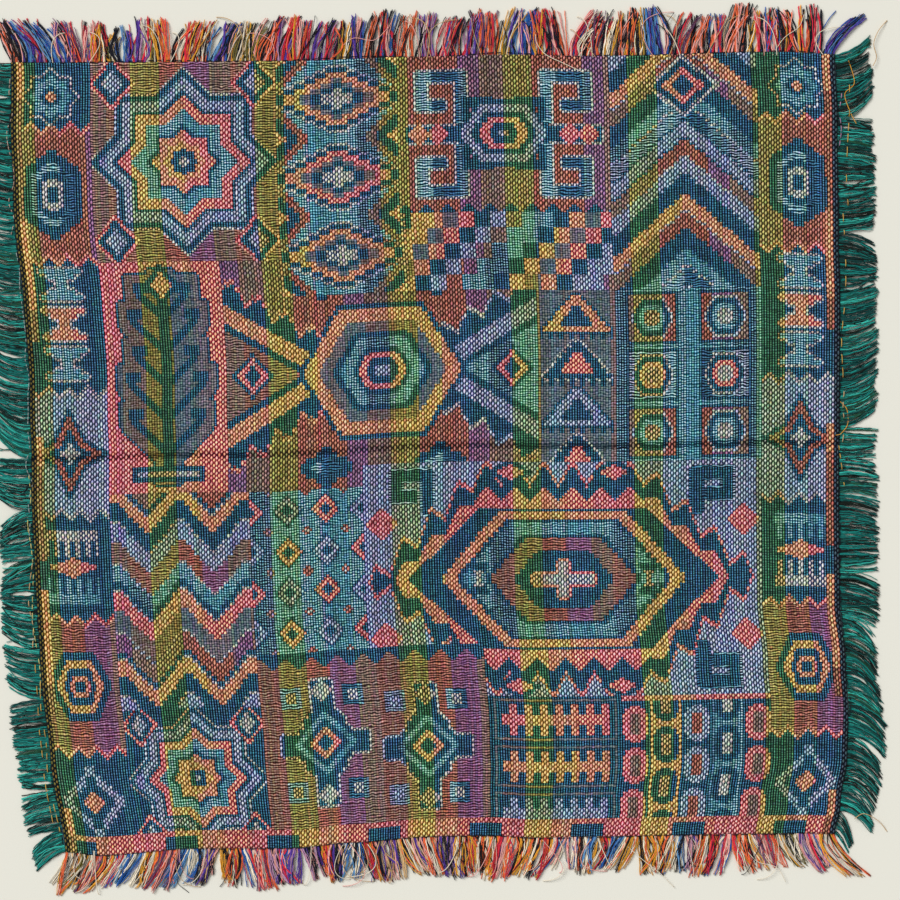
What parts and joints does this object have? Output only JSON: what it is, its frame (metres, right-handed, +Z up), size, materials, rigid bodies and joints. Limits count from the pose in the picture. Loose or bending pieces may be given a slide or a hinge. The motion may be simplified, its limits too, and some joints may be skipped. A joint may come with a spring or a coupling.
{
  "type": "placemat",
  "caption": "Square woven table mat lying flat, with soft fold marks, slightly bowed edges and a yarn fringe along all sides.",
  "frame": {"origin": "middle of the whole outline, fringe included, on the plane that the underside rests on", "axes": "+X along the weft threads to the right, +Y along the warp threads to the far side, +Z up out of the mat"},
  "size_m": [0.4948, 0.4838, 0.0019],
  "materials": {
    "cloth": "heavy figured cotton weave in many colours, matt",
    "warp_yarn": "frayed cotton yarn in many colours, matt",
    "weft_yarn": "frayed cotton yarn in green and teal, matt"
  },
  "bodies": {
    "root": {"woven_cloth": "cloth", "warp_fringe_far": "warp_yarn", "warp_fringe_near": "warp_yarn", "weft_fringe_left": "weft_yarn", "weft_fringe_right": "weft_yarn"}
  },
  "joints": []
}
